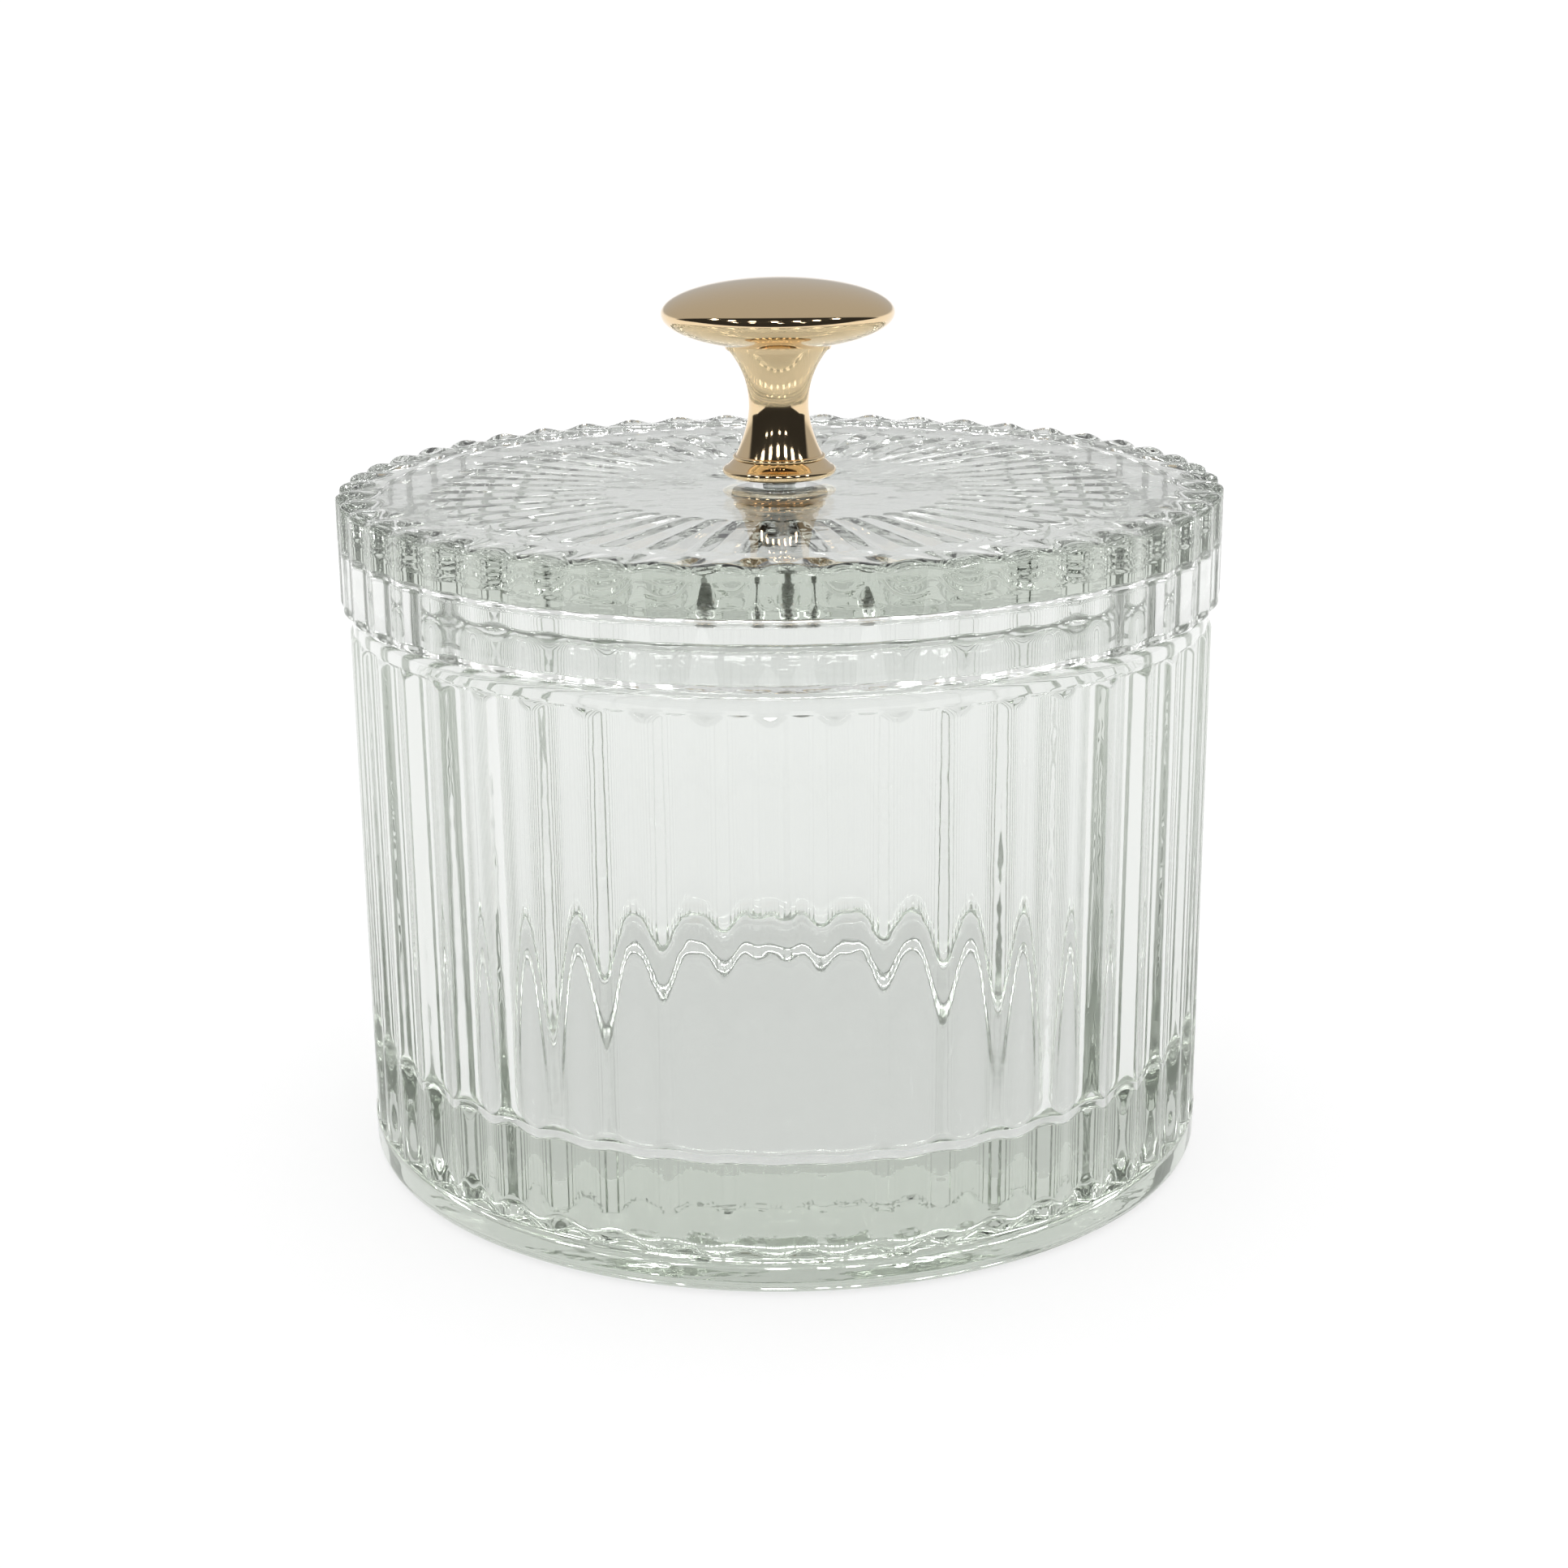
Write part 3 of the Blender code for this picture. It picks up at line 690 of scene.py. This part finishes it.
def screw_rings():
    """Rings from the middle of the recess, round the pan head and up the thread to the tip."""
    angles = even_angles(SMALL_STEPS)
    bottom = SCREW_LOW.z
    seat = bottom + SCREW_HEAD_HEIGHT
    tip = SCREW_HIGH.z
    head = arc(SCREW_HEAD_RADIUS - SCREW_HEAD_ROUND, bottom + SCREW_HEAD_ROUND,
               SCREW_HEAD_ROUND, SCREW_HEAD_ROUND, -80, 0, 6)
    head += [(SCREW_HEAD_RADIUS, seat - SCREW_HEAD_EDGE), (SCREW_HEAD_RADIUS - SCREW_HEAD_EDGE, seat)]
    head += [(SCREW_RADIUS, seat)]
    rings = recess_rings(angles, bottom) + plain_rings(head, angles)
    start = seat + THREAD_FROM_HEAD
    for z in np.arange(start, tip - THREAD_FROM_TIP, THREAD_PITCH / THREAD_ROWS):
        phase = (angles / math.tau + (z - start) / THREAD_PITCH) % 1.0
        rings.append(ring(SCREW_RADIUS - THREAD_DEPTH * np.abs(2.0 * phase - 1.0), z, angles))
    return rings + [ring(SCREW_RADIUS - SCREW_TIP_CHAMFER, tip, angles)]


def washer_rings(node, edge):
    """Rings of a flat washer that fills its CAD node's box, with rounded edges."""
    low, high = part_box(node)
    outline = arc(high.x - edge, low.z + edge, edge, edge, -90, 0, 4)
    outline += arc(high.x - edge, high.z - edge, edge, edge, 0, 90, 4)
    outline += arc(WASHER_BORE + edge, high.z - edge, edge, edge, 90, 180, 4)
    outline += arc(WASHER_BORE + edge, low.z + edge, edge, edge, 180, 270, 4)
    return plain_rings(outline, even_angles(SMALL_STEPS))


def zinc_steel(finish):
    """Zinc-plated steel: a dull blue-white metal with a fine grain."""
    grain_width = 0.4 * MM
    grain_height = 0.004 * MM
    material, tree = new_material("zinc_plated_steel")
    place = add_node(tree, "ShaderNodeTexCoord")
    grain = add_node(tree, "ShaderNodeTexNoise", {"Vector": place.outputs["Object"]},
                     {"Scale": 1.0 / grain_width, "Detail": 3.0})
    haze = add_node(tree, "ShaderNodeMapRange", {"Value": grain.outputs["Fac"]},
                    {"To Min": 0.22, "To Max": 0.38})
    bump = add_node(tree, "ShaderNodeBump", {"Height": grain.outputs["Fac"]},
                    {"Strength": 1.0, "Distance": grain_height})
    steel = add_node(tree, "ShaderNodeBsdfPrincipled",
                     {"Roughness": haze.outputs["Result"], "Normal": bump.outputs["Normal"]},
                     {"Base Color": linear(finish.zinc), "Metallic": 1.0})
    add_node(tree, "ShaderNodeOutputMaterial", {"Surface": steel.outputs["BSDF"]})
    return material


def soft_vinyl(finish):
    """Clear soft vinyl: milky, slightly rough, lets light through without a sharp image."""
    cloud_width = 0.7 * MM
    cloud_height = 0.01 * MM
    material, tree = new_material("clear_soft_vinyl")
    place = add_node(tree, "ShaderNodeTexCoord")
    cloud = add_node(tree, "ShaderNodeTexNoise", {"Vector": place.outputs["Object"]},
                     {"Scale": 1.0 / cloud_width, "Detail": 2.0})
    bump = add_node(tree, "ShaderNodeBump", {"Height": cloud.outputs["Fac"]},
                    {"Strength": 1.0, "Distance": cloud_height})
    vinyl = add_node(tree, "ShaderNodeBsdfPrincipled", {"Normal": bump.outputs["Normal"]},
                     {"Base Color": linear(finish.soft), "Roughness": 0.25, "IOR": 1.45,
                      "Transmission Weight": 0.5})
    add_node(tree, "ShaderNodeOutputMaterial", {"Surface": vinyl.outputs["BSDF"]})
    return material


class CANDLEJAR_OT_fastening(Operator):
    """Make the screw and the washers that hold the knob on the lid"""
    bl_idname = "candle_jar.fastening"
    bl_label = "Fastening"

    def execute(self, context):
        finish = context.scene.candle_jar_finish
        steel = zinc_steel(finish)
        vinyl = soft_vinyl(finish)
        screw = ring_mesh("screw_threaded", screw_rings(), (SCREW_LOW.z + RECESS_DEPTH, SCREW_HIGH.z))
        screw.set_sharp_from_angle(angle=SHARP_EDGE)
        add_piece("screw_threaded", screw, steel, "lid", "screw_steel", "knob_screw")
        for name, node, slot, material, edge in (
                ("washer_steel", "screw_washer", "washer_steel", steel, STEEL_WASHER_EDGE),
                ("washer_upper", "knob_gasket", "soft_washer", vinyl, SOFT_WASHER_EDGE),
                ("washer_lower", "lid_gasket", "soft_washer", vinyl, SOFT_WASHER_EDGE)):
            add_piece(name, ring_mesh(name, washer_rings(node, edge)), material, "lid", slot, node)
        return {"FINISHED"}


class CANDLEJAR_OT_stage(Operator):
    """Set the table, the studio and the photo's camera"""
    bl_idname = "candle_jar.stage"
    bl_label = "Stage"

    def execute(self, context):
        scene = context.scene
        scene.view_settings.view_transform = "Standard"
        scene.cycles.max_bounces = GLASS_BOUNCES
        scene.cycles.transmission_bounces = GLASS_BOUNCES
        scene.cycles.glossy_bounces = MIRROR_BOUNCES
        self.add_floor(scene)
        self.add_world(scene)
        self.add_lamps(scene)
        self.add_camera(scene)
        return {"FINISHED"}

    def add_floor(self, scene):
        """White sweep paper: matt, with a glow that keeps it white round the jar's soft shadow."""
        corners = [(-TABLE_REACH, -TABLE_FRONT), (TABLE_REACH, -TABLE_FRONT),
                   (TABLE_REACH, TABLE_REACH), (-TABLE_REACH, TABLE_REACH)]
        mesh = bpy.data.meshes.new("floor")
        mesh.from_pydata([(x, y, -TABLE_DROP) for x, y in corners], [], [(0, 1, 2, 3)])
        floor = bpy.data.objects.new("floor", mesh)
        scene.collection.objects.link(floor)
        material, tree = new_material("white_sweep_paper")
        colour = linear(scene.candle_jar_finish.paper)
        paper = add_node(tree, "ShaderNodeBsdfDiffuse", None, {"Color": colour})
        glow = add_node(tree, "ShaderNodeEmission", None, {"Strength": PAPER_GLOW})
        both = add_node(tree, "ShaderNodeAddShader", {0: paper.outputs["BSDF"], 1: glow.outputs["Emission"]})
        add_node(tree, "ShaderNodeOutputMaterial", {"Surface": both.outputs["Shader"]})
        mesh.materials.append(material)

    def add_world(self, scene):
        """White studio with a dark room on the camera's side, which only metal and glass show."""
        world = bpy.data.worlds.new("studio")
        world.use_nodes = True
        tree = world.node_tree
        tree.nodes.clear()
        scene.world = world
        place = add_node(tree, "ShaderNodeTexCoord")
        axis = add_node(tree, "ShaderNodeSeparateXYZ", {0: place.outputs["Generated"]})
        path = add_node(tree, "ShaderNodeLightPath")
        through = path.outputs["Is Transmission Ray"]
        views = {}
        for name, (metal, glass) in ROOM_VIEWS.items():
            view = add_node(tree, "ShaderNodeMapRange", {"Value": through},
                            {"To Min": metal, "To Max": glass})
            views[name] = view.outputs["Result"]
        # Metal shows the dark room further round than glass does
        depth = add_node(tree, "ShaderNodeMath",
                         {0: axis.outputs["Z"], 1: views["room_tilt"], 2: axis.outputs["Y"]},
                         operation="MULTIPLY_ADD")
        dark = add_node(tree, "ShaderNodeMapRange",
                        {"Value": depth.outputs[0], "From Min": views["room_begins"],
                         "From Max": views["room_darkest"]}, interpolation_type="SMOOTHSTEP")
        # Walls and ceiling are greyer than the white table, most of all in the knob and on top of the lid
        height = add_node(tree, "ShaderNodeMapRange",
                          {"Value": axis.outputs["Z"], "To Max": views["ceiling_level"]},
                          {"From Min": 0.0, "From Max": CEILING_RISE, "To Min": 1.0},
                          interpolation_type="SMOOTHSTEP")
        room = add_node(tree, "ShaderNodeMix",
                        {"Factor": dark.outputs["Result"], "A": height.outputs["Result"],
                         "B": views["room_level"]})
        # Below the horizon glass shows more paper
        below = add_node(tree, "ShaderNodeMath", {0: axis.outputs["Z"]}, {1: 0.0}, operation="LESS_THAN")
        under = add_node(tree, "ShaderNodeMath", {0: below.outputs[0], 1: through}, operation="MULTIPLY")
        around = add_node(tree, "ShaderNodeMix", {"Factor": under.outputs[0], "A": room.outputs["Result"]},
                          {"B": PAPER_LEVEL})
        # Metal and glass show the room. Paper below is lit by even white light, also through the glass
        mirrored = add_node(tree, "ShaderNodeMath", {0: path.outputs["Is Glossy Ray"], 1: through},
                            operation="MAXIMUM")
        direct = add_node(tree, "ShaderNodeMath", {0: path.outputs["Diffuse Depth"]}, {1: 0.5},
                          operation="LESS_THAN")
        seen = add_node(tree, "ShaderNodeMath", {0: mirrored.outputs[0], 1: direct.outputs[0]},
                        operation="MULTIPLY")
        level = add_node(tree, "ShaderNodeMix", {"Factor": seen.outputs[0], "B": around.outputs["Result"]},
                         {"A": STUDIO_LEVEL})
        light = add_node(tree, "ShaderNodeBackground", {"Strength": level.outputs["Result"]},
                         {"Color": linear("#FFFFFF")})
        add_node(tree, "ShaderNodeOutputWorld", {"Surface": light.outputs["Background"]})

    def add_lamps(self, scene):
        """Strip lamps that glint in the knob and the glass, and windows seen only through the glass."""
        for row in (UPPER_STRIPS, LOWER_STRIPS):
            for azimuth in row["azimuths"]:
                self.add_strip(scene, azimuth, row["elevation"], row["size"])
        for azimuth in WINDOW_AZIMUTHS:
            for elevation in WINDOW_ELEVATIONS:
                window = self.add_strip(scene, azimuth, elevation, WINDOW_SIZE)
                window.visible_glossy = False

    def add_strip(self, scene, azimuth, elevation, size):
        """Flat lamp that faces the jar. It makes glints, but doesn't light the paper."""
        lamp = bpy.data.lights.new("strip_lamp", "AREA")
        lamp.shape = "RECTANGLE"
        lamp.size, lamp.size_y = size
        lamp.energy = math.pi * size[0] * size[1] * LAMP_RADIANCE
        lamp.use_nodes = True
        tree = lamp.node_tree
        tree.nodes.clear()
        path = add_node(tree, "ShaderNodeLightPath")
        direct = add_node(tree, "ShaderNodeMath", {0: path.outputs["Diffuse Depth"]}, {1: 0.5},
                          operation="LESS_THAN")
        glow = add_node(tree, "ShaderNodeEmission", {"Strength": direct.outputs[0]})
        add_node(tree, "ShaderNodeOutputLight", {"Surface": glow.outputs["Emission"]})
        holder = bpy.data.objects.new("strip_lamp", lamp)
        scene.collection.objects.link(holder)
        turn = math.radians(azimuth)
        rise = math.radians(elevation)
        toward = Vector((math.sin(turn) * math.cos(rise), -math.cos(turn) * math.cos(rise), math.sin(rise)))
        holder.location = Vector((0.0, 0.0, LAMP_CENTRE)) + toward * LAMP_DISTANCE
        holder.rotation_euler = toward.to_track_quat("Z", "Y").to_euler()
        holder.visible_camera = False
        holder.visible_diffuse = False
        return holder

    def add_camera(self, scene):
        """Camera at the photo's place, turn and lens."""
        lens = bpy.data.cameras.new("photo_camera")
        lens.lens = CAMERA_LENS
        lens.sensor_fit = "HORIZONTAL"
        lens.shift_x, lens.shift_y = CAMERA_SHIFT
        lens.clip_start = CAMERA_CLIP
        camera = bpy.data.objects.new("photo_camera", lens)
        scene.collection.objects.link(camera)
        place = Matrix.Translation((CAMERA_DISTANCE * math.sin(CAMERA_AZIMUTH),
                                    -CAMERA_DISTANCE * math.cos(CAMERA_AZIMUTH), CAMERA_HEIGHT))
        turn = Matrix.Rotation(CAMERA_AZIMUTH, 4, "Z") @ Matrix.Rotation(math.pi / 2.0 - CAMERA_PITCH, 4, "X")
        camera.matrix_world = place @ turn @ Matrix.Rotation(CAMERA_ROLL, 4, "Z")
        scene.camera = camera


class CANDLEJAR_PT_panel(Panel):
    """Sizes, finishes and building steps of the candle jar"""
    bl_label = "Candle jar"
    bl_idname = "CANDLEJAR_PT_panel"
    bl_space_type = "VIEW_3D"
    bl_region_type = "UI"
    bl_category = "Candle jar"

    def draw(self, context):
        for group in (context.scene.candle_jar_sizes, context.scene.candle_jar_finish):
            for key in group.__annotations__:
                self.layout.prop(group, key)
        for step in STEPS:
            self.layout.operator(step.bl_idname)


STEPS = (CANDLEJAR_OT_jar, CANDLEJAR_OT_lid, CANDLEJAR_OT_knob, CANDLEJAR_OT_fastening, CANDLEJAR_OT_stage)
CLASSES = (CandleJarSizes, CandleJarFinish, *STEPS, CANDLEJAR_PT_panel)


def register():
    for item in CLASSES:
        bpy.utils.register_class(item)
    bpy.types.Scene.candle_jar_sizes = PointerProperty(type=CandleJarSizes)
    bpy.types.Scene.candle_jar_finish = PointerProperty(type=CandleJarFinish)


def unregister():
    del bpy.types.Scene.candle_jar_finish
    del bpy.types.Scene.candle_jar_sizes
    for item in reversed(CLASSES):
        bpy.utils.unregister_class(item)


def main():
    register()
    bpy.ops.candle_jar.jar()
    bpy.ops.candle_jar.lid()
    bpy.ops.candle_jar.knob()
    bpy.ops.candle_jar.fastening()
    bpy.ops.candle_jar.stage()


if __name__ == "__main__":
    main()
